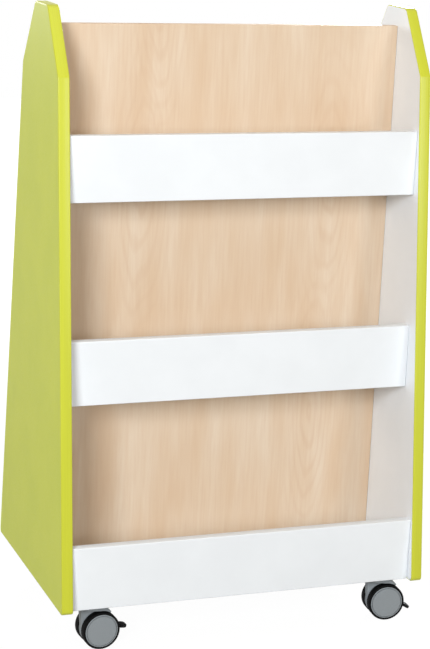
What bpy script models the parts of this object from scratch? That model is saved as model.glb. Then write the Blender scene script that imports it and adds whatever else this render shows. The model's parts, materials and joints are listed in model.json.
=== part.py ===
"""Mobile bookcase for a school or a library, at its real size.

Two A-shaped side panels stand on either side of an upright centre panel. Each face of the centre
panel has three book bays, one above the other, and a low lip in front of each keeps the books in.
The case rolls on four braked twin-wheel swivel casters under its bottom board.

Units are metres and +Z is up. The front faces -Y, and the origin is on the floor below the middle
of the whole, with the casters as they stand.
"""

import math

import bmesh
import bpy
from mathutils import Matrix, Vector

# Fits
SEAT_GAP = 0.0003
RUNNING_GAP = 0.0008
CUT_MARGIN = 0.002

# Case
CASE_WIDTH = 0.600
BOARD_EDGE_RADIUS = 0.001

# Side panels, with heights above the panel's foot
SIDE_THICKNESS = 0.018
SIDE_HEIGHT = 0.900
SIDE_BREAK_HEIGHT = 0.802
SIDE_FOOT_DEPTH = 0.382
SIDE_BREAK_DEPTH = 0.200
SIDE_TOP_DEPTH = 0.0686
SIDE_TOP_RADIUS = 0.012
SIDE_BREAK_RADIUS = 0.008
SIDE_FOOT_RADIUS = 0.007
BAND_THICKNESS = 0.002
BAND_EDGE_RADIUS = 0.0018

# Centre panel, shelves and lips
CENTRE_THICKNESS = 0.016
CENTRE_TOP_DROP = 0.030
BOTTOM_BOARD_THICKNESS = 0.018
SHELF_THICKNESS = 0.016
SHELF_PITCH = 0.308
LIP_HEIGHT = 0.100
LIP_THICKNESS = 0.016

# How far each lip's top edge stands behind the sloping edge of the side panels
BOTTOM_LIP_SETBACK = 0.0057
MIDDLE_LIP_SETBACK = 0.0237
TOP_LIP_SETBACK = 0.0058

# Casters
CASTER_HEIGHT = 0.076
CASTER_SIDE_INSET = 0.0395
CASTER_LIP_INSET = 0.0225
PLATE_SIZE = 0.042
PLATE_THICKNESS = 0.0025
PLATE_CORNER_RADIUS = 0.005
PLATE_HOLE_SPACING = 0.032
PLATE_HOLE_DIAMETER = 0.0045
KINGPIN_DIAMETER = 0.008
KINGPIN_LENGTH = 0.027
KINGPIN_CHAMFER = 0.001
COLLAR_DIAMETER = 0.016
COLLAR_THICKNESS = 0.0012

# Wheels
WHEEL_DIAMETER = 0.060
WHEEL_WIDTH = 0.013
WHEEL_TRAIL = 0.0165
TYRE_THICKNESS = 0.0034
TYRE_SHOULDER = 0.0012
TYRE_INSET = 0.0004
RIM_WALL = 0.003
DISC_WALL = 0.0028
DISC_CROWN = 0.0006
BOSS_DIAMETER = 0.014
AXLE_DIAMETER = 0.006
AXLE_END_WALL = 0.0032

# Housing, with lengths along the caster measured from the swivel axis
WEB_THICKNESS = 0.0124
WEB_EDGE_INSET = 0.0015
WEB_FOOT_CLEARANCE = 0.006
WEB_LEAD = 0.0142
WEB_SHOULDER_ANGLE = math.radians(172)
HOOD_WIDTH = 0.032
HOOD_FRONT_DEPTH = 0.0075
HOOD_TOP_REAR = 0.0175
HOOD_GAP = 0.0012
HOOD_LIP = 0.0024
HOOD_END_ANGLE = math.radians(60)
HOOD_REAR_RADIUS = 0.006
HOOD_EDGE_RADIUS = 0.001

# Brake pedal, with lengths from its pivot
PEDAL_PIVOT_BEHIND = 0.012
PEDAL_PIVOT_DROP = 0.006
PEDAL_ARM_THICKNESS = 0.0058
PEDAL_ARM_HEIGHT = 0.006
PEDAL_HUB_DIAMETER = 0.009
PEDAL_PIN_DIAMETER = 0.004
PEDAL_PAD_START = 0.023
PEDAL_PAD_LENGTH = 0.0125
PEDAL_PAD_WIDTH = 0.018
PEDAL_PAD_THICKNESS = 0.005
PEDAL_PAD_SLOPE = math.radians(18)
PEDAL_TIP_RADIUS = 0.006
PEDAL_EDGE_RADIUS = 0.0012
PEDAL_SLOT_HEIGHT = 0.016
PEDAL_RAISED = math.radians(12)
PEDAL_PRESSED = math.radians(-12)

# Facets round a turn, and along an arc
WHEEL_FACETS = 28
PIN_FACETS = 16
HOLE_FACETS = 12
HOOD_STEPS = 8
WEB_STEPS = 6
CORNER_STEPS = 4
CROWN_STEPS = 2

# How each caster stands after a roll to the left: the turn of its trailing side from +X, and its
# pedal's slope
CASTERS = {
    "front_left": (-1, -1, math.radians(4), PEDAL_RAISED),
    "front_right": (1, -1, math.radians(-5), PEDAL_PRESSED),
    "rear_left": (-1, 1, math.radians(-3), PEDAL_RAISED),
    "rear_right": (1, 1, math.radians(6), PEDAL_PRESSED),
}

# Places worked out from the sizes
WELD = 0.000002
SIDE_INNER = CASE_WIDTH / 2 - SIDE_THICKNESS
BOARD_LENGTH = 2 * (SIDE_INNER - SEAT_GAP)
CASE_FOOT = CASTER_HEIGHT
CENTRE_FACE = CENTRE_THICKNESS / 2
SIDE_LEAN = (SIDE_FOOT_DEPTH - SIDE_BREAK_DEPTH) / 2 / SIDE_BREAK_HEIGHT
LIP_SETBACKS = {"bottom": BOTTOM_LIP_SETBACK, "middle": MIDDLE_LIP_SETBACK, "top": TOP_LIP_SETBACK}

WHEEL_RADIUS = WHEEL_DIAMETER / 2
AXLE_HEIGHT = WHEEL_RADIUS
WHEEL_INNER_FACE = WEB_THICKNESS / 2 + RUNNING_GAP
WHEEL_OUTER_FACE = WHEEL_INNER_FACE + WHEEL_WIDTH
PEDAL_PIVOT = (WHEEL_TRAIL + PEDAL_PIVOT_BEHIND, 0, AXLE_HEIGHT - PEDAL_PIVOT_DROP)
PLATE_TOP = CASTER_HEIGHT - SEAT_GAP
PLATE_FOOT = PLATE_TOP - PLATE_THICKNESS
COLLAR_TOP = PLATE_FOOT - SEAT_GAP
COLLAR_FOOT = COLLAR_TOP - COLLAR_THICKNESS
HOUSING_TOP = COLLAR_FOOT - SEAT_GAP
HOOD_FRONT_FOOT = HOUSING_TOP - HOOD_FRONT_DEPTH
KINGPIN_FOOT = PLATE_TOP - KINGPIN_LENGTH


def linear(channel):
    """A linear light value for an sRGB channel from 0 to 255."""
    share = channel / 255
    if share <= 0.04045:
        return share / 12.92
    return ((share + 0.055) / 1.055) ** 2.4


def finish(name, red, green, blue, roughness, metallic=0.0):
    """A Principled BSDF material from an sRGB colour."""
    material = bpy.data.materials.new(name)
    material.use_nodes = True
    shader = material.node_tree.nodes["Principled BSDF"]
    shader.inputs["Base Color"].default_value = (linear(red), linear(green), linear(blue), 1)
    shader.inputs["Roughness"].default_value = roughness
    shader.inputs["Metallic"].default_value = metallic
    return material


def add_piece(name, mesh, material, parent=None, location=(0, 0, 0), rotation=(0, 0, 0)):
    """Puts a mesh in the scene as one named piece of the bookcase."""
    piece = bpy.data.objects.new(name, mesh)
    piece.location = location
    piece.rotation_euler = rotation
    piece.parent = parent or case_middle
    if not mesh.materials:
        mesh.materials.append(material)
    bookcase.objects.link(piece)
    return piece


def add_pivot(name, parent=None, location=(0, 0, 0), rotation=(0, 0, 0)):
    """An empty on a joint's axis, which the pieces that move with it hang from."""
    pivot = bpy.data.objects.new(name, None)
    pivot.location = location
    pivot.rotation_euler = rotation
    pivot.parent = parent or case_middle
    bookcase.objects.link(pivot)
    return pivot


def add_shape(name, mesh, location=(0, 0, 0), rotation=(0, 0, 0)):
    """A construction shape, kept out of the finished bookcase."""
    shape = bpy.data.objects.new(name, mesh)
    shape.location = location
    shape.rotation_euler = rotation
    shape.hide_render = True
    shape.display_type = "WIRE"
    cutters.objects.link(shape)
    return shape


def evaluated_mesh(shape, name):
    """The mesh of a construction shape, where it stands, with its modifiers applied."""
    bpy.context.view_layer.update()
    depsgraph = bpy.context.evaluated_depsgraph_get()
    mesh = bpy.data.meshes.new_from_object(shape.evaluated_get(depsgraph))
    mesh.transform(shape.matrix_world)
    mesh.name = name
    return mesh


def smooth(mesh, degrees=35):
    """Shades round faces smooth and keeps edges sharper than the angle."""
    mesh.shade_smooth()
    mesh.set_sharp_from_angle(angle=math.radians(degrees))
    return mesh


def round_edges(shape, radius, segments=1):
    """Rounds the sharp edges of a shape."""
    bevel = shape.modifiers.new("rounded_edges", "BEVEL")
    bevel.width = radius
    bevel.segments = segments
    bevel.limit_method = "ANGLE"
    bevel.angle_limit = math.radians(40)


def combine(shape, other, operation):
    """Cuts another shape out of a shape, or joins it on."""
    boolean = shape.modifiers.new(operation.lower(), "BOOLEAN")
    boolean.operation = operation
    boolean.object = other
    boolean.solver = "EXACT"


def finished(name, shape, helpers):
    """The mesh of a shape after its cuts and joins, with the construction shapes removed."""
    mesh = evaluated_mesh(shape, name)
    for used in (shape, *helpers):
        bpy.data.objects.remove(used)
    return smooth(mesh)


def arc(centre_x, centre_y, radius, start, end, steps):
    """Points along an arc, both ends included."""
    turns = [start + (end - start) * step / steps for step in range(steps + 1)]
    return [(centre_x + radius * math.cos(turn), centre_y + radius * math.sin(turn)) for turn in turns]


def rounded_outline(corners):
    """A closed outline whose corners, given as (x, y, radius, steps), are rounded by arcs."""
    points = []
    for index, (x, y, radius, steps) in enumerate(corners):
        corner = Vector((x, y))
        if radius == 0:
            points.append((x, y))
            continue
        before = (Vector(corners[index - 1][:2]) - corner).normalized()
        after = (Vector(corners[(index + 1) % len(corners)][:2]) - corner).normalized()
        half_angle = before.angle(after) / 2
        centre = corner + (before + after).normalized() * radius / math.sin(half_angle)
        spoke = corner + before * radius / math.tan(half_angle) - centre
        sweep = (math.pi - 2 * half_angle) * (1 if before.cross(after) < 0 else -1)
        for step in range(steps + 1):
            points.append(tuple(centre + Matrix.Rotation(sweep * step / steps, 2) @ spoke))
    return points


def inset_corners(corners, distance):
    """The corners of a convex outline moved in by the same distance all round."""
    inner = []
    for index, (x, y, radius, steps) in enumerate(corners):
        corner = Vector((x, y))
        before = (Vector(corners[index - 1][:2]) - corner).normalized()
        after = (Vector(corners[(index + 1) % len(corners)][:2]) - corner).normalized()
        reach = distance / math.sin(before.angle(after) / 2)
        moved = corner + (before + after).normalized() * reach
        inner.append((moved.x, moved.y, max(radius - distance, distance / 4), steps))
    return inner


def outline_mesh(name, points, thickness):
    """A flat outline in the XY plane, thickened evenly to both sides."""
    curve = bpy.data.curves.new(name, "CURVE")
    curve.dimensions = "2D"
    curve.fill_mode = "BOTH"
    curve.extrude = thickness / 2
    spline = curve.splines.new("POLY")
    spline.points.add(len(points) - 1)
    for control, (x, y) in zip(spline.points, points):
        control.co = (x, y, 0, 1)
    spline.use_cyclic_u = True
    drawing = add_shape(name, curve)
    mesh = evaluated_mesh(drawing, name)
    bpy.data.objects.remove(drawing)
    solid = bmesh.new()
    solid.from_mesh(mesh)
    bmesh.ops.remove_doubles(solid, verts=solid.verts, dist=WELD)
    bmesh.ops.dissolve_limit(solid, angle_limit=math.radians(0.5), verts=solid.verts, edges=solid.edges)
    bmesh.ops.recalc_face_normals(solid, faces=solid.faces)
    solid.to_mesh(mesh)
    solid.free()
    return mesh


def turned_mesh(name, profile, facets, closed=False):
    """A profile of (radius, height) points, top to bottom, turned about the Z axis."""
    mesh = bpy.data.meshes.new(name)
    edges = [(index, index + 1) for index in range(len(profile) - 1)]
    if closed:
        edges.append((len(profile) - 1, 0))
    mesh.from_pydata([(radius, 0, height) for radius, height in profile], edges, [])
    shape = add_shape(name, mesh)
    screw = shape.modifiers.new("turn", "SCREW")
    screw.steps = facets
    screw.render_steps = facets
    screw.use_merge_vertices = True
    screw.merge_threshold = WELD
    turned = evaluated_mesh(shape, name)
    bpy.data.objects.remove(shape)
    return smooth(turned)


def box_mesh(name, length, depth, height):
    """A box centred on the origin."""
    bpy.ops.mesh.primitive_cube_add(size=1)
    box = bpy.context.active_object
    mesh = box.data
    mesh.name = name
    mesh.transform(Matrix.Diagonal((length, depth, height, 1)))
    bpy.data.objects.remove(box)
    return mesh


def rod_mesh(name, diameter, length, facets):
    """A round rod along Z, centred on the origin."""
    bpy.ops.mesh.primitive_cylinder_add(vertices=facets, radius=diameter / 2, depth=length)
    rod = bpy.context.active_object
    mesh = rod.data
    mesh.name = name
    bpy.data.objects.remove(rod)
    return smooth(mesh)


def add_board(name, length, depth, height, location, material):
    """A straight board with lightly rounded edges."""
    board = add_piece(name, box_mesh(name, length, depth, height), material, location=location)
    round_edges(board, BOARD_EDGE_RADIUS)
    return board


def side_corners():
    """The A-shaped outline of a side panel, drawn with its foot on the X axis."""
    half = [
        (SIDE_FOOT_DEPTH / 2, 0, SIDE_FOOT_RADIUS, CORNER_STEPS),
        (SIDE_BREAK_DEPTH / 2, SIDE_BREAK_HEIGHT, SIDE_BREAK_RADIUS, CORNER_STEPS // 2),
        (SIDE_TOP_DEPTH / 2, SIDE_HEIGHT, SIDE_TOP_RADIUS, CORNER_STEPS),
    ]
    return half + [(-x, y, radius, steps) for x, y, radius, steps in reversed(half)]


def build_side(side, sign, lime):
    """A side panel and the band glued round its edge."""
    upright = (math.pi / 2, 0, math.pi / 2)
    place = (sign * (CASE_WIDTH - SIDE_THICKNESS) / 2, 0, CASE_FOOT)
    core = rounded_outline(inset_corners(side_corners(), BAND_THICKNESS + SEAT_GAP))
    panel_mesh = outline_mesh(side + "_side_panel", core, SIDE_THICKNESS)
    add_piece(side + "_side_panel", panel_mesh, lime, location=place, rotation=upright)

    seat = rounded_outline(inset_corners(side_corners(), BAND_THICKNESS))
    seat_mesh = outline_mesh(side + "_band_seat", seat, SIDE_THICKNESS + 2 * CUT_MARGIN)
    cutter = add_shape(side + "_band_seat", seat_mesh, place, upright)
    cutter.parent = case_middle
    outer = outline_mesh(side + "_edge_band", rounded_outline(side_corners()), SIDE_THICKNESS)
    band = add_piece(side + "_edge_band", outer, lime, location=place, rotation=upright)
    round_edges(band, BAND_EDGE_RADIUS, 2)
    combine(band, cutter, "DIFFERENCE")


def lip_back(level, setback):
    """How far the back of a lip stands from the middle of the case."""
    top = level * SHELF_PITCH + LIP_HEIGHT
    return SIDE_FOOT_DEPTH / 2 - SIDE_LEAN * top - setback - LIP_THICKNESS


def build_boards(white, maple):
    """The centre panel, the bottom board, and the shelves and lips on both faces."""
    board_top = CASE_FOOT + BOTTOM_BOARD_THICKNESS
    centre_foot = board_top + SEAT_GAP
    centre_height = CASE_FOOT + SIDE_HEIGHT - CENTRE_TOP_DROP - centre_foot
    add_board("centre_panel", BOARD_LENGTH, CENTRE_THICKNESS, centre_height,
              (0, 0, centre_foot + centre_height / 2), maple)
    bottom_depth = 2 * (lip_back(0, BOTTOM_LIP_SETBACK) - SEAT_GAP)
    add_board("bottom_board", BOARD_LENGTH, bottom_depth, BOTTOM_BOARD_THICKNESS,
              (0, 0, CASE_FOOT + BOTTOM_BOARD_THICKNESS / 2), white)
    for face, sign in (("front", -1), ("rear", 1)):
        for level, (name, setback) in enumerate(LIP_SETBACKS.items()):
            foot = CASE_FOOT + level * SHELF_PITCH
            back = lip_back(level, setback)
            add_board(f"{face}_{name}_lip", BOARD_LENGTH, LIP_THICKNESS, LIP_HEIGHT,
                      (0, sign * (back + LIP_THICKNESS / 2), foot + LIP_HEIGHT / 2), white)
            if level == 0:
                continue
            add_board(f"{face}_{name}_shelf", BOARD_LENGTH, back - CENTRE_FACE - 2 * SEAT_GAP, SHELF_THICKNESS,
                      (0, sign * (CENTRE_FACE + back) / 2, foot + SHELF_THICKNESS / 2), white)


def plate_mesh():
    """The caster's square mounting plate, with four screw holes and a hole for the kingpin."""
    half = PLATE_SIZE / 2
    quarters = ((1, -1), (1, 1), (-1, 1), (-1, -1))
    corners = [(x * half, y * half, PLATE_CORNER_RADIUS, CORNER_STEPS) for x, y in quarters]
    plate = add_shape("plate", outline_mesh("plate", rounded_outline(corners), PLATE_THICKNESS))
    depth = PLATE_THICKNESS + 2 * CUT_MARGIN
    holes = [(0, 0, KINGPIN_DIAMETER + 2 * SEAT_GAP, PIN_FACETS)]
    reach = PLATE_HOLE_SPACING / 2
    holes += [(x * reach, y * reach, PLATE_HOLE_DIAMETER, HOLE_FACETS) for x, y in quarters]
    drills = []
    for x, y, diameter, facets in holes:
        drill = add_shape("plate_hole", rod_mesh("plate_hole", diameter, depth, facets), (x, y, 0))
        combine(plate, drill, "DIFFERENCE")
        drills.append(drill)
    return finished("caster_plate", plate, drills)


def kingpin_mesh():
    """The steel pin the caster swivels on, riveted into the plate, with its thrust collar."""
    radius = KINGPIN_DIAMETER / 2
    collar = COLLAR_DIAMETER / 2
    profile = [
        (0, PLATE_TOP),
        (radius, PLATE_TOP),
        (radius, COLLAR_TOP),
        (collar, COLLAR_TOP),
        (collar, COLLAR_FOOT),
        (radius, COLLAR_FOOT),
        (radius, KINGPIN_FOOT + KINGPIN_CHAMFER),
        (radius - KINGPIN_CHAMFER, KINGPIN_FOOT),
        (0, KINGPIN_FOOT),
    ]
    return turned_mesh("caster_kingpin", profile, PIN_FACETS)


def hood_outline():
    """Side view of the hood: a flat cap in front that turns down behind, over the wheels."""
    lead = HOOD_WIDTH / 2 + CUT_MARGIN
    under = WHEEL_RADIUS + HOOD_GAP
    tip = (WHEEL_TRAIL + (under + HOOD_LIP) * math.cos(HOOD_END_ANGLE),
           AXLE_HEIGHT + (under + HOOD_LIP) * math.sin(HOOD_END_ANGLE))
    over_wheels = arc(WHEEL_TRAIL, AXLE_HEIGHT, under, math.pi / 2, HOOD_END_ANGLE, HOOD_STEPS // 2)
    corners = [(x, y, 0, 0) for x, y in [(-lead, HOOD_FRONT_FOOT), *over_wheels, tip]]
    corners.append((HOOD_TOP_REAR, HOUSING_TOP, HOOD_REAR_RADIUS, CORNER_STEPS))
    corners.append((-lead, HOUSING_TOP, 0, 0))
    return rounded_outline(corners)


def hood_plan():
    """The hood seen from above: half-round about the swivel axis in front and square behind."""
    half = HOOD_WIDTH / 2
    behind = WHEEL_TRAIL + WHEEL_RADIUS
    front = arc(0, 0, half, math.pi / 2, 3 * math.pi / 2, HOOD_STEPS)
    return front + [(behind, -half), (behind, half)]


def web_outline():
    """Side view of the web between the wheels, from the hood down to just above the floor."""
    radius = WHEEL_RADIUS - WEB_EDGE_INSET
    drop = math.asin((AXLE_HEIGHT - WEB_FOOT_CLEARANCE) / radius)
    leading = arc(WHEEL_TRAIL, AXLE_HEIGHT, radius, WEB_SHOULDER_ANGLE, math.pi + drop, WEB_STEPS)
    trailing = arc(WHEEL_TRAIL, AXLE_HEIGHT, radius, -drop, HOOD_END_ANGLE, WEB_STEPS)
    buried = HOOD_FRONT_FOOT + HOOD_LIP
    return [(-WEB_LEAD, buried)] + leading + trailing + [(HOOD_TOP_REAR, buried)]


def housing_mesh():
    """The moulded housing: a hood over the wheels and a web between them, bored for its pins."""
    facing = (math.pi / 2, 0, 0)
    side_cut = outline_mesh("hood", hood_outline(), HOOD_WIDTH + 2 * CUT_MARGIN)
    hood = add_shape("hood", side_cut, rotation=facing)
    plan_cut = outline_mesh("hood_plan", hood_plan(), 2 * (HOUSING_TOP + CUT_MARGIN))
    plan = add_shape("hood_plan", plan_cut)
    combine(hood, plan, "INTERSECT")
    round_edges(hood, HOOD_EDGE_RADIUS)
    web = add_shape("web", outline_mesh("web", web_outline(), WEB_THICKNESS), rotation=facing)
    combine(hood, web, "UNION")

    socket_foot = KINGPIN_FOOT - SEAT_GAP
    socket_top = HOUSING_TOP + CUT_MARGIN
    socket = rod_mesh("socket", KINGPIN_DIAMETER + 2 * SEAT_GAP, socket_top - socket_foot, PIN_FACETS)
    across = WEB_THICKNESS + 2 * CUT_MARGIN
    axle_bore = rod_mesh("axle_bore", AXLE_DIAMETER + 2 * SEAT_GAP, across, PIN_FACETS)
    pin_bore = rod_mesh("pin_bore", PEDAL_PIN_DIAMETER + 2 * SEAT_GAP, across, HOLE_FACETS)
    slot_back = PEDAL_PIVOT[0] - PEDAL_HUB_DIAMETER / 2 - 2 * SEAT_GAP
    slot_length = WHEEL_TRAIL + WHEEL_RADIUS - slot_back
    slot = box_mesh("pedal_slot", slot_length, PEDAL_ARM_THICKNESS + 2 * SEAT_GAP, PEDAL_SLOT_HEIGHT)
    cuts = [
        add_shape("socket", socket, (0, 0, (socket_foot + socket_top) / 2)),
        add_shape("axle_bore", axle_bore, (WHEEL_TRAIL, 0, AXLE_HEIGHT), facing),
        add_shape("pin_bore", pin_bore, PEDAL_PIVOT, facing),
        add_shape("pedal_slot", slot, (slot_back + slot_length / 2, 0, PEDAL_PIVOT[2])),
    ]
    for cutter in cuts:
        combine(hood, cutter, "DIFFERENCE")
    return finished("caster_housing", hood, [plan, web, *cuts])


def wheel_mesh():
    """A moulded wheel: an outer disc, a rim for the tyre and a boss with a blind bore for the axle.

    Its axle lies along Z and its outer face is at the top.
    """
    rim = WHEEL_RADIUS - TYRE_THICKNESS - SEAT_GAP
    boss = BOSS_DIAMETER / 2
    bore = AXLE_DIAMETER / 2 + SEAT_GAP
    rim_foot = WHEEL_INNER_FACE + TYRE_INSET
    face = WHEEL_OUTER_FACE - DISC_CROWN
    disc_back = face - DISC_WALL
    crown = [(rim - DISC_CROWN) * step / CROWN_STEPS for step in range(CROWN_STEPS + 1)]
    profile = [(radius, WHEEL_OUTER_FACE - DISC_CROWN * (radius / rim) ** 2) for radius in crown]
    profile += [
        (rim, face - DISC_CROWN),
        (rim, rim_foot),
        (rim - RIM_WALL, rim_foot),
        (rim - RIM_WALL, disc_back),
        (boss, disc_back),
        (boss, WHEEL_INNER_FACE),
        (bore, WHEEL_INNER_FACE),
        (bore, WHEEL_OUTER_FACE - AXLE_END_WALL),
        (0, WHEEL_OUTER_FACE - AXLE_END_WALL),
    ]
    return turned_mesh("caster_wheel", profile, WHEEL_FACETS)


def tyre_mesh():
    """The tyre round a wheel. It stands on the flat of a facet, at the wheel's true radius."""
    tread = WHEEL_RADIUS / math.cos(math.pi / WHEEL_FACETS)
    seat = WHEEL_RADIUS - TYRE_THICKNESS
    top = WHEEL_OUTER_FACE - TYRE_INSET
    foot = WHEEL_INNER_FACE + TYRE_INSET
    profile = [
        (seat, top),
        (tread - TYRE_SHOULDER, top),
        (tread, top - TYRE_SHOULDER),
        (tread, foot + TYRE_SHOULDER),
        (tread - TYRE_SHOULDER, foot),
        (seat, foot),
    ]
    return turned_mesh("caster_tyre", profile, WHEEL_FACETS, closed=True)


def pedal_mesh():
    """The brake pedal: an arm on a cross pin, with a wide sloping pad for the foot at its end."""
    facing = (math.pi / 2, 0, 0)
    hub = PEDAL_HUB_DIAMETER / 2
    blend = math.asin(PEDAL_ARM_HEIGHT / PEDAL_HUB_DIAMETER)
    buried = PEDAL_PAD_LENGTH / 3
    end_x = PEDAL_PAD_START + buried * math.cos(PEDAL_PAD_SLOPE)
    end_z = -buried * math.sin(PEDAL_PAD_SLOPE)
    half_end = PEDAL_PAD_THICKNESS / 3
    arm_points = arc(0, 0, hub, blend, 2 * math.pi - blend, 2 * CORNER_STEPS)
    arm_points += [(end_x, end_z - half_end), (end_x, end_z + half_end)]
    arm = add_shape("arm", outline_mesh("arm", arm_points, PEDAL_ARM_THICKNESS), rotation=facing)

    half_width = PEDAL_PAD_WIDTH / 2
    pad_corners = [
        (0, -half_width, PEDAL_EDGE_RADIUS, CORNER_STEPS // 2),
        (PEDAL_PAD_LENGTH, -half_width, PEDAL_TIP_RADIUS, CORNER_STEPS),
        (PEDAL_PAD_LENGTH, half_width, PEDAL_TIP_RADIUS, CORNER_STEPS),
        (0, half_width, PEDAL_EDGE_RADIUS, CORNER_STEPS // 2),
    ]
    pad_solid = outline_mesh("pad", rounded_outline(pad_corners), PEDAL_PAD_THICKNESS)
    pad = add_shape("pad", pad_solid, (PEDAL_PAD_START, 0, 0), (0, PEDAL_PAD_SLOPE, 0))
    round_edges(pad, PEDAL_EDGE_RADIUS)
    pin_length = WEB_THICKNESS - 2 * SEAT_GAP
    pin = add_shape("pin", rod_mesh("pin", PEDAL_PIN_DIAMETER, pin_length, HOLE_FACETS), rotation=facing)
    combine(arm, pad, "UNION")
    combine(arm, pin, "UNION")
    return finished("brake_pedal", arm, [pad, pin])


def build_casters(nylon, rubber, pedal_nylon, steel):
    """Four casters, each with its plate, kingpin, housing, axle, twin wheels, tyres and pedal."""
    plate = plate_mesh()
    kingpin = kingpin_mesh()
    housing = housing_mesh()
    wheel = wheel_mesh()
    tyre = tyre_mesh()
    pedal = pedal_mesh()
    axle_reach = WHEEL_OUTER_FACE - AXLE_END_WALL - SEAT_GAP
    axle = rod_mesh("caster_axle", AXLE_DIAMETER, 2 * axle_reach, PIN_FACETS)
    half_facet = math.pi / WHEEL_FACETS
    for place, (side, face, heading, pedal_slope) in CASTERS.items():
        name = place + "_caster"
        x = side * (SIDE_INNER - CASTER_SIDE_INSET)
        y = face * (lip_back(0, BOTTOM_LIP_SETBACK) - CASTER_LIP_INSET)
        add_piece(name + "_plate", plate, steel, location=(x, y, PLATE_TOP - PLATE_THICKNESS / 2))
        add_piece(name + "_kingpin", kingpin, steel, location=(x, y, 0))
        swivel = add_pivot(name + "_swivel_axis", location=(x, y, 0), rotation=(0, 0, heading))
        add_piece(name + "_housing", housing, nylon, swivel)
        spin = add_pivot(name + "_wheel_axis", swivel, (WHEEL_TRAIL, 0, AXLE_HEIGHT))
        add_piece(name + "_axle", axle, steel, spin, rotation=(math.pi / 2, 0, 0))
        for half, turn in (("front", math.pi / 2), ("rear", -math.pi / 2)):
            add_piece(f"{name}_{half}_wheel", wheel, nylon, spin, rotation=(turn, half_facet, 0))
            add_piece(f"{name}_{half}_tyre", tyre, rubber, spin, rotation=(turn, half_facet, 0))
        hinge = add_pivot(name + "_pedal_axis", swivel, PEDAL_PIVOT, (0, -pedal_slope, 0))
        add_piece(name + "_brake_pedal", pedal, pedal_nylon, hinge)


def stand_over_origin():
    """Moves the case sideways until its whole width, pedals included, is centred on the origin."""
    bpy.context.view_layer.update()
    across = []
    for piece in bookcase.objects:
        if piece.type == "MESH":
            across += [(piece.matrix_world @ vertex.co).x for vertex in piece.data.vertices]
    case_middle.location.x = -(min(across) + max(across)) / 2


for leftover in list(bpy.data.objects):
    bpy.data.objects.remove(leftover)
bookcase = bpy.data.collections.new("mobile_bookcase")
cutters = bpy.data.collections.new("cutters")
bpy.context.scene.collection.children.link(bookcase)
bpy.context.scene.collection.children.link(cutters)
case_middle = bpy.data.objects.new("case_middle", None)
bookcase.objects.link(case_middle)

lime_laminate = finish("lime_laminate", 190, 200, 60, 0.45)
white_laminate = finish("white_laminate", 240, 241, 242, 0.45)
maple_laminate = finish("maple_laminate", 226, 202, 172, 0.50)
grey_nylon = finish("grey_nylon", 142, 148, 151, 0.50)
black_rubber = finish("black_rubber", 28, 28, 29, 0.65)
black_nylon = finish("black_nylon", 24, 24, 25, 0.50)
zinc_plated_steel = finish("zinc_plated_steel", 190, 192, 195, 0.35, 1.0)

for side_name, side_sign in (("left", -1), ("right", 1)):
    build_side(side_name, side_sign, lime_laminate)
build_boards(white_laminate, maple_laminate)
build_casters(grey_nylon, black_rubber, black_nylon, zinc_plated_steel)
stand_over_origin()
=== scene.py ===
"""Looks of a mobile bookcase for a school or a library.

Lime side panels, a maple centre panel, white shelves and lips, and four braked casters are made
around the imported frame, in metres. +Z is up, the front faces -Y and the floor is at Z = 0.
"""

import json
import math

import bmesh
import bpy
from mathutils import Matrix, Vector


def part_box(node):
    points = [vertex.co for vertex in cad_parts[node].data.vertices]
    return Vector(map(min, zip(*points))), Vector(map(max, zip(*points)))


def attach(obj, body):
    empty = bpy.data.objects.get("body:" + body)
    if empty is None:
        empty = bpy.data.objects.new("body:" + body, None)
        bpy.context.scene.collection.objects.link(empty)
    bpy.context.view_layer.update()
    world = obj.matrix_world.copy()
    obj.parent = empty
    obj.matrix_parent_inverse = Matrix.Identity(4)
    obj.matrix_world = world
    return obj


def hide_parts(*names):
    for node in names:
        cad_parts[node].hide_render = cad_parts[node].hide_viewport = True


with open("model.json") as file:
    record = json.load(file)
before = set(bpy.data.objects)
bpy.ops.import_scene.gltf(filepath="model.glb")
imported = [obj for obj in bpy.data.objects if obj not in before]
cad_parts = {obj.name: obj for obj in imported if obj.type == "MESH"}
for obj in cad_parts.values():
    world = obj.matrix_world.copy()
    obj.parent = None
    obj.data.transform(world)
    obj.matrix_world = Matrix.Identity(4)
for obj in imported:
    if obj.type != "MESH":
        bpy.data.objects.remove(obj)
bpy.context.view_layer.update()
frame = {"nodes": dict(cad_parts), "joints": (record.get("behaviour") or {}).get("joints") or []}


# Side panels
# A-shaped boards of 18 mm chipboard faced with melamine, lime outside and white inside.
# They are sawn to outline, and dowels from the shelves hold them, so no fixing shows outside.
MM = 0.001
TOUCH = 0.05 * MM
FACING = 0.999  # least cosine of a face or edge that points one way
SMOOTH_ANGLE = math.radians(35)
SIDES = {"left": -1, "right": 1}
SIDE_FOOT_DEPTH = 382 * MM
SIDE_BREAK_DEPTH = 200 * MM
SIDE_TOP_DEPTH = 68.6 * MM
SIDE_BREAK_HEIGHT = 802 * MM
SIDE_FOOT_RADIUS = 7 * MM
SIDE_BREAK_RADIUS = 8 * MM
SIDE_TOP_RADIUS = 12 * MM
EDGING_THICKNESS = 2 * MM
EDGING_INSIDE = 1.7 * MM
BROAD_FACE = 0.1  # square metres, and only the two faces of a side are larger
SEAM = 0.1 * MM
# The lime of the faces is a little lighter than that of the edging: painted light that makes up for the
# weaker light falling on the sides.
LIME_FACE = "D0DB2A"
LIME_CLOUD = "CCD826"
LIME_SHEEN = 0.3
LIME_ROUGHNESS = 0.42
WHITE_FACE = "EFF3F8"
WHITE_CLOUD = "ECF0F5"
WHITE_ROUGHNESS = 0.45
RESIN_IOR = 1.5
NOISE_LOW, NOISE_HIGH = 0.3, 0.7  # nearly all of the noise lies between them
CLOUD_SIZE = 70 * MM
PEARL_SIZE = 2.2 * MM  # the real pearl is near 0.5 mm, drawn coarser so that it shows
PEARL_GLOSS = 0.05  # how far the pearl lifts and lowers the roughness
PEARL_RELIEF = 0.06
RELIEF_DEPTH = 0.1 * MM


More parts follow.
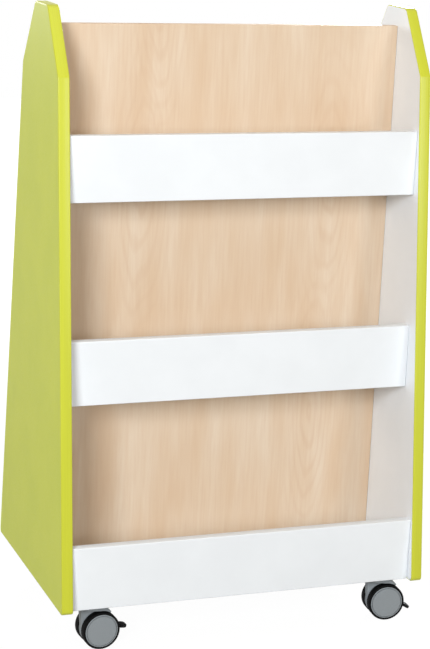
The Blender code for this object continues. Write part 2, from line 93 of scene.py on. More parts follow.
def linear(hex_colour):
    """Linear RGBA from an sRGB hex colour."""
    shares = [int(hex_colour[place:place + 2], 16) / 255 for place in (0, 2, 4)]
    return [s / 12.92 if s <= 0.04045 else ((s + 0.055) / 1.055) ** 2.4 for s in shares] + [1]


def add_node(tree, kind, inputs, stops=(), **settings):
    """Adds a shader node with its settings, its inputs as values or links, and its ramp's two stops."""
    node = tree.nodes.new("ShaderNode" + kind)
    for name, value in settings.items():
        setattr(node, name, value)
    for name, value in inputs.items():
        if isinstance(value, bpy.types.NodeSocket):
            tree.links.new(value, node.inputs[name])
        else:
            node.inputs[name].default_value = value
    for place, (position, hex_colour) in enumerate(stops):
        node.color_ramp.elements[place].position = position
        node.color_ramp.elements[place].color = linear(hex_colour)
    return node


def new_material(name):
    """A material with its node tree, its Principled shader and the piece's Object coordinates."""
    material = bpy.data.materials.new(name)
    material.use_nodes = True
    tree = material.node_tree
    place = add_node(tree, "TexCoord", {}).outputs["Object"]
    return material, tree, tree.nodes["Principled BSDF"], place


def melamine(name, face, cloud, roughness, sheen=0.5):
    """Melamine laminate: dyed paper under a resin film, pressed against an embossed plate.

    The eye sees an even colour with a very faint cloud, and a satin gloss broken by a fine pearl.
    """
    material, tree, shader, place = new_material(name)
    drift = add_node(tree, "TexNoise", {"Vector": place, "Scale": 1 / CLOUD_SIZE, "Detail": 3})
    tone = add_node(tree, "ValToRGB", {"Fac": drift.outputs["Fac"]}, ((0.35, cloud), (0.65, face)))
    tree.links.new(tone.outputs["Color"], shader.inputs["Base Color"])
    pearl = add_node(tree, "TexNoise", {"Vector": place, "Scale": 1 / PEARL_SIZE, "Detail": 2})
    gloss = add_node(tree, "MapRange", {"Value": pearl.outputs["Fac"],
                                        "From Min": NOISE_LOW, "From Max": NOISE_HIGH,
                                        "To Min": roughness - PEARL_GLOSS,
                                        "To Max": roughness + PEARL_GLOSS})
    tree.links.new(gloss.outputs["Result"], shader.inputs["Roughness"])
    relief = add_node(tree, "Bump", {"Height": pearl.outputs["Fac"], "Strength": PEARL_RELIEF,
                                     "Distance": RELIEF_DEPTH})
    tree.links.new(relief.outputs["Normal"], shader.inputs["Normal"])
    shader.inputs["IOR"].default_value = RESIN_IOR
    shader.inputs["Specular IOR Level"].default_value = sheen
    return material


def add_box(name, low, high):
    """Adds a box that spans two corners and leaves it alone selected."""
    bpy.ops.object.select_all(action="DESELECT")
    bpy.ops.mesh.primitive_cube_add(size=1, location=(Vector(low) + Vector(high)) / 2)
    box = bpy.context.active_object
    box.name = name
    box.scale = Vector(high) - Vector(low)
    bpy.ops.object.transform_apply(location=True, rotation=True, scale=True)
    return box


def pick(piece, kind, test):
    """In edit mode, selects only the vertices, edges or faces that pass a test."""
    bpy.ops.mesh.select_mode(type=kind)
    bpy.ops.mesh.select_all(action="DESELECT")
    mesh = bmesh.from_edit_mesh(piece.data)
    for element in {"VERT": mesh.verts, "EDGE": mesh.edges, "FACE": mesh.faces}[kind]:
        if test(element):
            element.select_set(True)
    mesh.select_flush_mode()
    bmesh.update_edit_mesh(piece.data)


def finish_piece(piece, materials, body, slot, *nodes):
    """Shades a piece, gives it its materials, and puts it on its body in place of its nodes."""
    bpy.ops.object.select_all(action="DESELECT")
    piece.select_set(True)
    bpy.context.view_layer.objects.active = piece
    bpy.ops.object.shade_smooth_by_angle(angle=SMOOTH_ANGLE)
    for material in materials:
        piece.data.materials.append(material)
    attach(piece, body)
    if nodes:
        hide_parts(*nodes)
    return piece


def a_shaped_board(name, side):
    """A solid board with the outline of a side, its corners rounded, left in edit mode."""
    low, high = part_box(side + "_edge_band")
    half = SIDE_FOOT_DEPTH / 2
    board = add_box(name, (low.x, -half, low.z), (high.x, half, high.z))
    break_z = low.z + SIDE_BREAK_HEIGHT
    lower_lean = math.atan2((SIDE_FOOT_DEPTH - SIDE_BREAK_DEPTH) / 2, SIDE_BREAK_HEIGHT)
    upper_lean = math.atan2((SIDE_BREAK_DEPTH - SIDE_TOP_DEPTH) / 2, high.z - break_z)
    bpy.ops.object.mode_set(mode="EDIT")
    bpy.ops.mesh.select_all(action="SELECT")
    bpy.ops.mesh.bisect(plane_co=(0, 0, break_z), plane_no=(0, 0, 1))
    for height, depth in ((break_z, SIDE_BREAK_DEPTH), (high.z, SIDE_TOP_DEPTH)):
        pick(board, "VERT", lambda vertex: abs(vertex.co.z - height) < TOUCH)
        bpy.ops.transform.resize(value=(1, depth / SIDE_FOOT_DEPTH, 1), center_override=(0, 0, height))
    right_angle = math.pi / 2
    corners = (
        (low.z, SIDE_FOOT_RADIUS, right_angle - lower_lean, 6),
        (break_z, SIDE_BREAK_RADIUS, math.pi - (upper_lean - lower_lean), 4),
        (high.z, SIDE_TOP_RADIUS, right_angle + upper_lean, 8),
    )
    for height, radius, corner_angle, segments in corners:
        pick(board, "EDGE", lambda edge: all(abs(vertex.co.z - height) < TOUCH for vertex in edge.verts)
             and abs(edge.verts[0].co.x - edge.verts[1].co.x) > TOUCH)
        bpy.ops.mesh.bevel(offset=radius / math.tan(corner_angle / 2), segments=segments, affect="EDGES")
    pick(board, "EDGE", lambda edge: all(abs(face.normal.x) > FACING for face in edge.link_faces))
    bpy.ops.mesh.dissolve_edges(use_verts=False)
    return board


def pick_broad_face(board, direction):
    """Selects the broad face of an A-shaped board that looks to the left or to the right."""
    pick(board, "FACE", lambda face: face.normal.x * direction > FACING
         and face.calc_area() > BROAD_FACE)


lime = melamine("lime_melamine", LIME_FACE, LIME_CLOUD, LIME_ROUGHNESS, LIME_SHEEN)
white = melamine("white_melamine", WHITE_FACE, WHITE_CLOUD, WHITE_ROUGHNESS)
for side, sign in SIDES.items():
    panel = a_shaped_board(side + "_side_board", side)
    for direction, border in ((sign, EDGING_THICKNESS), (-sign, EDGING_INSIDE)):
        pick_broad_face(panel, direction)
        bpy.ops.mesh.inset(thickness=border + SEAM)
    pick(panel, "FACE", lambda face: face.calc_area() < BROAD_FACE)
    bpy.ops.mesh.delete(type="FACE")
    bpy.ops.mesh.select_mode(type="EDGE")
    bpy.ops.mesh.select_all(action="SELECT")
    bpy.ops.mesh.bridge_edge_loops()
    bpy.ops.mesh.select_all(action="SELECT")
    bpy.ops.mesh.normals_make_consistent(inside=False)
    bpy.ops.object.mode_set(mode="OBJECT")
    for polygon in panel.data.polygons:
        polygon.material_index = 1 if polygon.normal.x * sign < -FACING else 0
    finish_piece(panel, [lime, white], "case", "lime_laminate_board", side + "_side_panel")


# Edge bands
# 2 mm lime ABS strip, glued round the outline of each side panel by an edge bander.
# Its arrises are milled round, wide outside and small inside, and the scraper leaves faint lines.
EDGING_RADIUS = 1.95 * MM
EDGING_RADIUS_INSIDE = 1.6 * MM
LIME_EDGE = "C9CE30"
LIME_EDGE_LINE = "C5CA2C"
SCRAPER_LINE = 1.5 * MM  # real lines are near 0.3 mm, drawn coarser so that they show
SCRAPER_RUN = 250 * MM
SCRAPER_GLOSS = 0.04
SCRAPER_RELIEF = 0.05
EDGING_ROUGHNESS = 0.38
ABS_IOR = 1.52


def edge_strip(name, face, line, roughness):
    """Extruded ABS edging: even colour, a little glossier than the board, with lines along it."""
    material, tree, shader, place = new_material(name)
    along = 1 / SCRAPER_RUN
    across = add_node(tree, "Mapping", {"Vector": place, "Scale": (1 / SCRAPER_LINE, along, along)})
    lines = add_node(tree, "TexNoise", {"Vector": across.outputs["Vector"], "Scale": 1, "Detail": 2})
    tone = add_node(tree, "ValToRGB", {"Fac": lines.outputs["Fac"]}, ((0.35, line), (0.65, face)))
    tree.links.new(tone.outputs["Color"], shader.inputs["Base Color"])
    gloss = add_node(tree, "MapRange", {"Value": lines.outputs["Fac"],
                                        "From Min": NOISE_LOW, "From Max": NOISE_HIGH,
                                        "To Min": roughness - SCRAPER_GLOSS,
                                        "To Max": roughness + SCRAPER_GLOSS})
    tree.links.new(gloss.outputs["Result"], shader.inputs["Roughness"])
    relief = add_node(tree, "Bump", {"Height": lines.outputs["Fac"], "Strength": SCRAPER_RELIEF,
                                     "Distance": RELIEF_DEPTH})
    tree.links.new(relief.outputs["Normal"], shader.inputs["Normal"])
    shader.inputs["IOR"].default_value = ABS_IOR
    return material


lime_edging = edge_strip("lime_abs_edging", LIME_EDGE, LIME_EDGE_LINE, EDGING_ROUGHNESS)
for side, sign in SIDES.items():
    band = a_shaped_board(side + "_edging", side)
    for direction, border, radius in ((sign, EDGING_THICKNESS, EDGING_RADIUS),
                                      (-sign, EDGING_INSIDE, EDGING_RADIUS_INSIDE)):
        pick_broad_face(band, direction)
        bpy.ops.mesh.region_to_loop()
        bpy.ops.mesh.bevel(offset=radius, segments=4, affect="EDGES")
        pick_broad_face(band, direction)
        bpy.ops.mesh.inset(thickness=border - radius)
        bpy.ops.mesh.delete(type="FACE")
    bpy.ops.mesh.select_mode(type="EDGE")
    bpy.ops.mesh.select_non_manifold()
    bpy.ops.mesh.bridge_edge_loops()
    bpy.ops.mesh.select_all(action="SELECT")
    bpy.ops.mesh.normals_make_consistent(inside=False)
    bpy.ops.object.mode_set(mode="OBJECT")
    finish_piece(band, [lime_edging], "case", "lime_edge_band", side + "_edge_band")


# Centre panel
# One upright board of 16 mm chipboard with a maple print on both faces, grain upright.
# It stands on the bottom board between the side panels, and its top edge has a maple strip.
BOARD_EDGE_RADIUS = 1 * MM
STRIP_THICKNESS = 1.6 * MM
MAPLE_PALE = "E4D1BB"
MAPLE_ROSE = "DCC2A6"
MAPLE_LINE = "D2B193"
MAPLE_SHEEN = 0.15
FLAME_WIDTH = 34 * MM
FLAME_STRETCH = 0.16  # width of a flame over its height
ARCH_HEARTS = ((178, 690), (-121, 1000), (164, 320), (-139, 690))  # mm across and above the floor
ARCH_STRETCH = 0.22  # width of an arch over its height
ARCH_SPACING = 9 * MM
ARCH_REACH = 75 * MM
ARCH_SHARE = 0.32
SWAY_WIDTH = 45 * MM
SWAY_SHIFT = 26 * MM
FIBRE_WIDTH = 4 * MM  # real fibres are near 0.3 mm, drawn coarser so that they show
FIBRE_STRETCH = 0.05
FIBRE_SHARE = 0.4
FIBRE_RELIEF = 0.08
MAPLE_ROUGHNESS = (0.44, 0.56)
MIX_FACTOR, MIX_A, MIX_B, MIX_COLOUR = 0, 6, 7, 2  # sockets of a Mix node set to colours


def straight_board(name, node):
    """A board in the place of a node, with rounded edges and a hairline seam inside its edging."""
    low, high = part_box(node)
    board = add_box(name, low, high)
    size = high - low
    thin = min(range(3), key=lambda axis: size[axis])
    bpy.ops.object.mode_set(mode="EDIT")
    bpy.ops.mesh.select_all(action="SELECT")
    bpy.ops.mesh.bevel(offset=BOARD_EDGE_RADIUS, segments=3, affect="EDGES")
    pick(board, "FACE", lambda face: abs(face.normal[thin]) > FACING)
    bpy.ops.mesh.inset(thickness=STRIP_THICKNESS - BOARD_EDGE_RADIUS)
    bpy.ops.mesh.inset(thickness=SEAM, depth=-SEAM)
    bpy.ops.mesh.inset(thickness=SEAM, depth=SEAM)
    bpy.ops.object.mode_set(mode="OBJECT")
    return board


def maple_print(name):
    """Maple laminate: a satin wood print with soft flames, tall faint arches and fine fibres."""
    material, tree, shader, place = new_material(name)
    tall = add_node(tree, "Mapping", {"Vector": place, "Scale": (1, 1, FLAME_STRETCH)})
    flame = add_node(tree, "TexNoise", {"Vector": tall.outputs["Vector"], "Scale": 1 / FLAME_WIDTH})
    colour = add_node(tree, "ValToRGB", {"Fac": flame.outputs["Fac"]},
                      ((0.3, MAPLE_PALE), (0.7, MAPLE_ROSE))).outputs["Color"]
    flat = add_node(tree, "Mapping", {"Vector": place, "Scale": (1, 0, ARCH_STRETCH)}).outputs["Vector"]
    sway = add_node(tree, "TexNoise", {"Vector": flat, "Scale": 1 / SWAY_WIDTH})
    shift = add_node(tree, "VectorMath", {0: sway.outputs["Color"], 1: (SWAY_SHIFT, 0, SWAY_SHIFT)},
                     operation="MULTIPLY").outputs["Vector"]
    bent = add_node(tree, "VectorMath", {0: flat, 1: shift}, operation="ADD").outputs["Vector"]
    for across, height in ARCH_HEARTS:
        heart = (across * MM + SWAY_SHIFT / 2, 0, height * MM * ARCH_STRETCH + SWAY_SHIFT / 2)
        away = add_node(tree, "VectorMath", {0: bent, 1: heart}, operation="DISTANCE").outputs["Value"]
        turns = add_node(tree, "Math", {0: away, 1: math.tau / ARCH_SPACING}, operation="MULTIPLY")
        ring = add_node(tree, "Math", {0: turns.outputs["Value"]}, operation="SINE", use_clamp=True)
        near = add_node(tree, "MapRange", {"Value": away, "From Max": ARCH_REACH, "To Min": ARCH_SHARE,
                                           "To Max": 0}, interpolation_type="SMOOTHSTEP")
        share = add_node(tree, "Math", {0: ring.outputs["Value"], 1: near.outputs["Result"]},
                         operation="MULTIPLY").outputs["Value"]
        colour = add_node(tree, "Mix", {MIX_FACTOR: share, MIX_A: colour, MIX_B: linear(MAPLE_LINE)},
                          data_type="RGBA").outputs[MIX_COLOUR]
    thin = add_node(tree, "Mapping", {"Vector": place, "Scale": (1, 1, FIBRE_STRETCH)})
    fibres = add_node(tree, "TexNoise", {"Vector": thin.outputs["Vector"], "Scale": 1 / FIBRE_WIDTH,
                                         "Detail": 3, "Roughness": 0.6}).outputs["Fac"]
    fibre_share = add_node(tree, "MapRange", {"Value": fibres, "From Min": 0.4, "From Max": 0.8,
                                              "To Max": FIBRE_SHARE}).outputs["Result"]
    wood = add_node(tree, "Mix", {MIX_FACTOR: fibre_share, MIX_A: colour, MIX_B: linear(MAPLE_LINE)},
                    data_type="RGBA")
    tree.links.new(wood.outputs[MIX_COLOUR], shader.inputs["Base Color"])
    gloss = add_node(tree, "MapRange", {"Value": fibres, "To Min": MAPLE_ROUGHNESS[0],
                                        "To Max": MAPLE_ROUGHNESS[1]})
    tree.links.new(gloss.outputs["Result"], shader.inputs["Roughness"])
    relief = add_node(tree, "Bump", {"Height": fibres, "Strength": FIBRE_RELIEF,
                                     "Distance": RELIEF_DEPTH})
    tree.links.new(relief.outputs["Normal"], shader.inputs["Normal"])
    shader.inputs["IOR"].default_value = RESIN_IOR
    shader.inputs["Specular IOR Level"].default_value = MAPLE_SHEEN
    return material


maple = maple_print("maple_melamine")
centre_board = straight_board("centre_board", "centre_panel")
finish_piece(centre_board, [maple], "case", "maple_laminate_board", "centre_panel")


# Shelves, lips and bottom board
# White melamine-faced chipboard with white edging, doweled and glued between the side panels.
# The lips stand 100 mm high in front of the shelves and keep the books in.
WHITE_BOARDS = ["bottom_board"]
for face in ("front", "rear"):
    WHITE_BOARDS += [f"{face}_{level}_lip" for level in ("bottom", "middle", "top")]
    WHITE_BOARDS += [f"{face}_{level}_shelf" for level in ("middle", "top")]
for node in WHITE_BOARDS:
    finish_piece(straight_board("white_" + node, node), [white], "case", "white_laminate_board", node)


# Cam covers
# Press-in discs of white plastic that close the cam fittings under the shelves and bottom board.
# Each is a shallow cap with a rounded rim and a dished middle.
COVER_RADIUS = 8.5 * MM
COVER_THICKNESS = 0.9 * MM
COVER_END_INSET = 34 * MM
COVER_ROW_INSET = 90 * MM
COVER_STEPS = ((0.4, 0.25), (1.2, 0), (0.5, -0.3))  # mm: rim, land, dish
COVER_WHITE = "E9EAEA"
COVER_SHADE = "E4E5E5"
COVER_ROUGHNESS = 0.45
COVER_GRAIN = 1.5 * MM  # a mould is matt at near 0.2 mm, drawn coarser so that it shows
MOULD_GLOSS = 0.06
MOULD_RELIEF = 0.1


def moulded(name, face, shade, roughness, grain, sheen=0.5):
    """Injection-moulded plastic: one colour through and through, with the fine matt of its tool."""
    material, tree, shader, place = new_material(name)
    spark = add_node(tree, "TexNoise", {"Vector": place, "Scale": 1 / grain, "Detail": 3})
    tone = add_node(tree, "ValToRGB", {"Fac": spark.outputs["Fac"]}, ((0.3, shade), (0.7, face)))
    tree.links.new(tone.outputs["Color"], shader.inputs["Base Color"])
    gloss = add_node(tree, "MapRange", {"Value": spark.outputs["Fac"],
                                        "From Min": NOISE_LOW, "From Max": NOISE_HIGH,
                                        "To Min": roughness - MOULD_GLOSS,
                                        "To Max": roughness + MOULD_GLOSS})
    tree.links.new(gloss.outputs["Result"], shader.inputs["Roughness"])
    relief = add_node(tree, "Bump", {"Height": spark.outputs["Fac"], "Strength": MOULD_RELIEF,
                                     "Distance": RELIEF_DEPTH})
    tree.links.new(relief.outputs["Normal"], shader.inputs["Normal"])
    shader.inputs["IOR"].default_value = RESIN_IOR
    shader.inputs["Specular IOR Level"].default_value = sheen
    return material


def add_round(name, radius, low, high, vertices):
    """Adds an upright cylinder between two heights on the Z axis and leaves it alone selected."""
    bpy.ops.object.select_all(action="DESELECT")
    bpy.ops.mesh.primitive_cylinder_add(vertices=vertices, radius=radius, depth=high - low,
                                        location=(0, 0, (low + high) / 2))
    rod = bpy.context.active_object
    rod.name = name
    bpy.ops.object.transform_apply(location=True, rotation=True, scale=True)
    return rod


def step_face(piece, direction, steps):
    """Insets an end of an upright round step by step, by widths and rises in mm from the rim inward."""
    bpy.ops.object.mode_set(mode="EDIT")
    pick(piece, "FACE", lambda face: face.normal.z * direction > FACING)
    for width, rise in steps:
        bpy.ops.mesh.inset(thickness=width * MM, depth=rise * MM)
    bpy.ops.object.mode_set(mode="OBJECT")


def join_copies(name, model, places):
    """One piece made of a model's copies, each moved by its matrix. The model is removed."""
    bpy.ops.object.select_all(action="DESELECT")
    for place in places:
        copy = model.copy()
        copy.data = model.data.copy()
        copy.data.transform(place)
        bpy.context.collection.objects.link(copy)
        copy.select_set(True)
        bpy.context.view_layer.objects.active = copy
    bpy.ops.object.join()
    piece = bpy.context.active_object
    piece.name = name
    bpy.data.objects.remove(model)
    return piece


cover = add_round("cam_cover", COVER_RADIUS, -COVER_THICKNESS, 0, 40)
step_face(cover, -1, COVER_STEPS)
cover_places = []
for node in WHITE_BOARDS:
    low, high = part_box(node)
    if "lip" in node:
        continue
    rows = [(low.y + high.y) / 2]
    if node == "bottom_board":
        rows = [low.y + COVER_ROW_INSET, high.y - COVER_ROW_INSET]
    for x in (low.x + COVER_END_INSET, high.x - COVER_END_INSET):
        cover_places += [Matrix.Translation((x, y, low.z)) for y in rows]
cover_plastic = moulded("white_cover_plastic", COVER_WHITE, COVER_SHADE, COVER_ROUGHNESS, COVER_GRAIN)
covers = join_copies("cam_covers", cover, cover_places)
finish_piece(covers, [cover_plastic], "case", "white_laminate_board")


# Caster plates
# Square plates of 2.5 mm zinc-plated steel, blanked and deburred, under the bottom board.
# Four raised countersunk wood screws with a cross recess hold each one.
CASTERS = ("front_left", "front_right", "rear_left", "rear_right")
PLATE_CORNER_RADIUS = 5 * MM
PLATE_DEBUR = 0.3 * MM
SCREW_SPACING = 32 * MM
SCREW_RADIUS = 3.8 * MM
SCREW_RISE = 0.5 * MM
SCREW_STEPS = ((0.8, 0.15), (1, 0.05))  # mm: the raised head
SCREW_TURNS = (40, 90)  # radians per metre across and along, so that no two recesses line up
RECESS_LENGTH = 4.2 * MM
RECESS_WIDTH = 0.9 * MM
ZINC = "C3C7CA"
ZINC_DULL = "AEB3B8"
ZINC_ROUGHNESS = (0.28, 0.46)
SPANGLE = 4 * MM
WELD = 0.005 * MM
SHARP_ANGLE = math.radians(40)
joints = {joint["name"]: joint for joint in frame["joints"]}


def zinc_plate(name):
    """Bright zinc plating: a silver-blue metal with soft blotches where the bath ran unevenly."""
    material, tree, shader, place = new_material(name)
    blotch = add_node(tree, "TexNoise", {"Vector": place, "Scale": 1 / SPANGLE, "Detail": 3})
    tone = add_node(tree, "ValToRGB", {"Fac": blotch.outputs["Fac"]}, ((0.3, ZINC_DULL), (0.7, ZINC)))
    tree.links.new(tone.outputs["Color"], shader.inputs["Base Color"])
    gloss = add_node(tree, "MapRange", {"Value": blotch.outputs["Fac"], "To Min": ZINC_ROUGHNESS[0],
                                        "To Max": ZINC_ROUGHNESS[1]})
    tree.links.new(gloss.outputs["Result"], shader.inputs["Roughness"])
    shader.inputs["Metallic"].default_value = 1
    return material


def caster_frame(place):
    """Where a caster stands: its swivel axis on the floor, turned to its heading."""
    x, y, _ = joints[place + "_caster_swivel"]["pos_m"]
    axle = joints[place + "_caster_front_wheel_spin"]["axis"]
    return Matrix.Translation((x, y, 0)) @ Matrix.Rotation(math.atan2(-axle[0], axle[1]), 4, "Z")


def combine(piece, other, operation):
    """Cuts another shape out of a piece, or joins it on, and cleans the seam. The other shape goes."""
    boolean = piece.modifiers.new("boolean", "BOOLEAN")
    boolean.operation = operation
    boolean.object = other
    bpy.ops.object.select_all(action="DESELECT")
    piece.select_set(True)
    bpy.context.view_layer.objects.active = piece
    bpy.ops.object.modifier_apply(modifier=boolean.name)
    bpy.data.objects.remove(other)
    bpy.ops.object.mode_set(mode="EDIT")
    bpy.ops.mesh.select_all(action="SELECT")
    bpy.ops.mesh.remove_doubles(threshold=WELD)
    bpy.ops.mesh.dissolve_degenerate(threshold=WELD)
    bpy.ops.object.mode_set(mode="OBJECT")


def round_edges(piece, radius, segments):
    """Rounds every sharp edge of a piece."""
    bevel = piece.modifiers.new("bevel", "BEVEL")
    bevel.width = radius
    bevel.segments = segments
    bevel.angle_limit = SHARP_ANGLE
    bpy.ops.object.select_all(action="DESELECT")
    piece.select_set(True)
    bpy.context.view_layer.objects.active = piece
    bpy.ops.object.modifier_apply(modifier=bevel.name)


def bevel_upright(piece, radius, segments):
    """Rounds the upright edges of a box."""
    bpy.ops.object.mode_set(mode="EDIT")
    pick(piece, "EDGE", lambda edge: abs((edge.verts[0].co - edge.verts[1].co).normalized().z) > FACING)
    bpy.ops.mesh.bevel(offset=radius, segments=segments, affect="EDGES")
    bpy.ops.object.mode_set(mode="OBJECT")


zinc = zinc_plate("zinc_plated_steel")
screw = add_round("screw", SCREW_RADIUS, -SCREW_RISE, SCREW_RISE, 32)
step_face(screw, -1, SCREW_STEPS)
for length, width in ((RECESS_LENGTH, RECESS_WIDTH), (RECESS_WIDTH, RECESS_LENGTH)):
    blade = add_box("recess", (-length / 2, -width / 2, -2 * SCREW_RISE), (length / 2, width / 2, 0))
    combine(screw, blade, "DIFFERENCE")
screw_places = []
for place in CASTERS:
    node = place + "_caster_plate"
    low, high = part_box(node)
    plate = add_box(place + "_plate", low, high)
    bevel_upright(plate, PLATE_CORNER_RADIUS, 6)
    round_edges(plate, PLATE_DEBUR, 2)
    finish_piece(plate, [zinc], "case", "zinc_plated_steel", node)
    middle = (low + high) / 2
    for x in (-SCREW_SPACING / 2, SCREW_SPACING / 2):
        for y in (-SCREW_SPACING / 2, SCREW_SPACING / 2):
            turn = Matrix.Rotation(x * SCREW_TURNS[0] + y * SCREW_TURNS[1], 4, "Z")
            screw_places.append(Matrix.Translation((middle.x + x, middle.y + y, low.z)) @ turn)
finish_piece(join_copies("plate_screws", screw, screw_places), [zinc], "case", "zinc_plated_steel")


# Kingpins
# Turned steel pins riveted into the plates, each with the thrust collar that the housing bears on.
# Only the collar shows, in the gap between the plate and the housing.
KINGPIN_RADIUS = 4 * MM
COLLAR_RADIUS = 8 * MM
COLLAR_LOW = 71.7 * MM
COLLAR_HIGH = 72.9 * MM
KINGPIN_ARRIS = 0.2 * MM


def put_copy(model, place, part, body, slot, material, local=Matrix.Identity(4)):
    """Puts a copy of a model on one caster, in place of the node of that name."""
    copy = model.copy()
    copy.data = model.data.copy()
    copy.name = f"{place}_{part}"
    copy.data.transform(caster_frame(place) @ local)
    bpy.context.collection.objects.link(copy)
    finish_piece(copy, [material], body, slot, f"{place}_caster_{part}")


pin_low, pin_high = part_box("front_left_caster_kingpin")
kingpin = add_round("kingpin", KINGPIN_RADIUS, pin_low.z, pin_high.z, 32)
collar = add_round("collar", COLLAR_RADIUS, COLLAR_LOW, COLLAR_HIGH, 48)
combine(kingpin, collar, "UNION")
round_edges(kingpin, KINGPIN_ARRIS, 2)
for place in CASTERS:
    put_copy(kingpin, place, "kingpin", "case", "zinc_plated_steel", zinc)
bpy.data.objects.remove(kingpin)


# Caster housings
# Each is one moulding of grey nylon: a flat cap, half-round in front, over a web between the wheels.
# The cap slopes down behind, where a slot in the web takes the brake pedal.
WHEEL_RADIUS = 30 * MM
WHEEL_TRAIL = 16.5 * MM
WEB_THICKNESS = 12.4 * MM
WEB_INSET = 1.5 * MM
WEB_RADIUS = WHEEL_RADIUS - WEB_INSET
WEB_FOOT = 6 * MM
WEB_LEAD = 14.2 * MM
WEB_SHOULDER_ANGLE = math.radians(176)
WEB_EDGE_RADIUS = 0.8 * MM
HOOD_WIDTH = 32 * MM
HOOD_FRONT_DEPTH = 7.5 * MM
HOOD_TOP_REAR = 17.5 * MM
HOOD_CLEARANCE = 1.2 * MM
HOOD_UNDER_RADIUS = WHEEL_RADIUS + HOOD_CLEARANCE
HOOD_LIP = 2.4 * MM
HOOD_END_ANGLE = math.radians(60)
HOOD_REAR_RADIUS = 6 * MM
HOOD_EDGE_RADIUS = 1 * MM
SOCKET_RADIUS = 4.3 * MM
PIVOT_BEHIND = 12 * MM
PIVOT_DROP = 6 * MM
PIN_BORE_RADIUS = 2.2 * MM
PEDAL_SLOT_WIDTH = 6.4 * MM
PEDAL_SLOT_HEIGHT = 16 * MM
PEDAL_SLOT_LEAD = 5.1 * MM
GREY = "93999E"
GREY_SHADE = "8E9499"
GREY_SHEEN = 0.15
GREY_ROUGHNESS = 0.5
NYLON_GRAIN = 1.2 * MM  # drawn coarser than the 0.2 mm of the mould, so that it shows


def lying(shape, x, z):
    """Turns an upright round to lie across the caster, with its middle at a place along it."""
    shape.data.transform(Matrix.Translation((x, 0, z)) @ Matrix.Rotation(math.pi / 2, 4, "X"))
    return shape


def trim(piece, point, normal):
    """Cuts a piece off at a plane and closes the cut."""
    bpy.ops.object.mode_set(mode="EDIT")
    bpy.ops.mesh.select_all(action="SELECT")
    bpy.ops.mesh.bisect(plane_co=point, plane_no=normal, use_fill=True, clear_outer=True)
    bpy.ops.object.mode_set(mode="OBJECT")


def round_wheel(radius, angle):
    """A point at a radius and an angle about the axle, in the middle plane of the caster."""
    return Vector((WHEEL_TRAIL + radius * math.cos(angle), 0, WHEEL_RADIUS + radius * math.sin(angle)))


def move_corner(box, old_x, old_z, new_x, new_z):
    """Moves the edge of a box that runs across the caster to another place."""
    bpy.ops.object.mode_set(mode="EDIT")
    pick(box, "VERT", lambda vertex: abs(vertex.co.x - old_x) < TOUCH
         and abs(vertex.co.z - old_z) < TOUCH)
    bpy.ops.transform.translate(value=(new_x - old_x, 0, new_z - old_z))
    bpy.ops.object.mode_set(mode="OBJECT")


half_hood = HOOD_WIDTH / 2
half_web = WEB_THICKNESS / 2
hood_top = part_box("front_left_caster_housing")[1].z
hood_foot = hood_top - HOOD_FRONT_DEPTH
arch_top = WHEEL_RADIUS + HOOD_UNDER_RADIUS
tip = round_wheel(HOOD_UNDER_RADIUS + HOOD_LIP, HOOD_END_ANGLE)
slope = tip - Vector((HOOD_TOP_REAR, 0, hood_top))
housing = add_box("housing", (-half_hood, -half_hood, WHEEL_RADIUS), (tip.x + MM, half_hood, hood_top))
bpy.ops.object.mode_set(mode="EDIT")
pick(housing, "EDGE", lambda edge: all(vertex.co.x < TOUCH - half_hood for vertex in edge.verts)
     and abs(edge.verts[0].co.z - edge.verts[1].co.z) > TOUCH)
bpy.ops.mesh.bevel(offset=half_hood - TOUCH, segments=16, affect="EDGES")
bpy.ops.object.mode_set(mode="OBJECT")
trim(housing, tip, (-slope.z, 0, slope.x))
trim(housing, tip, (math.sin(HOOD_END_ANGLE), 0, -math.cos(HOOD_END_ANGLE)))
bpy.ops.object.mode_set(mode="EDIT")
pick(housing, "EDGE", lambda edge: all(abs(vertex.co.x - HOOD_TOP_REAR) < TOUCH
                                       for vertex in edge.verts))
bpy.ops.mesh.bevel(offset=HOOD_REAR_RADIUS / 2, segments=6, affect="EDGES")
bpy.ops.object.mode_set(mode="OBJECT")
relief = add_box("relief", (-HOOD_WIDTH, -HOOD_WIDTH, 0), (WHEEL_TRAIL, HOOD_WIDTH, arch_top))
move_corner(relief, -HOOD_WIDTH, arch_top, -half_hood, hood_foot)
combine(housing, relief, "DIFFERENCE")
arch = add_round("arch", HOOD_UNDER_RADIUS, -HOOD_WIDTH, HOOD_WIDTH, 128)
combine(housing, lying(arch, WHEEL_TRAIL, WHEEL_RADIUS), "DIFFERENCE")
round_edges(housing, HOOD_EDGE_RADIUS, 3)
web = lying(add_round("web", WEB_RADIUS, -half_web, half_web, 128), WHEEL_TRAIL, WHEEL_RADIUS)
bpy.context.view_layer.objects.active = web
trim(web, (0, 0, WEB_FOOT), (0, 0, -1))
round_edges(web, WEB_EDGE_RADIUS, 2)
half_stem = half_web - TOUCH
shoulder = round_wheel(WEB_RADIUS - WEB_EDGE_RADIUS, WEB_SHOULDER_ANGLE)
heel = round_wheel(WEB_RADIUS - WEB_EDGE_RADIUS, HOOD_END_ANGLE)
stem_top = hood_foot + HOOD_LIP
stem = add_box("stem", (-WEB_LEAD, -half_stem, shoulder.z), (HOOD_TOP_REAR, half_stem, stem_top))
move_corner(stem, -WEB_LEAD, shoulder.z, shoulder.x, shoulder.z)
move_corner(stem, HOOD_TOP_REAR, shoulder.z, heel.x, heel.z)
round_edges(stem, WEB_EDGE_RADIUS, 2)
combine(web, stem, "UNION")
combine(housing, web, "UNION")
combine(housing, add_round("socket", SOCKET_RADIUS, pin_low.z - MM, hood_top + MM, 32), "DIFFERENCE")
slot_z = WHEEL_RADIUS - PIVOT_DROP
slot_start = WHEEL_TRAIL + PIVOT_BEHIND - PEDAL_SLOT_LEAD
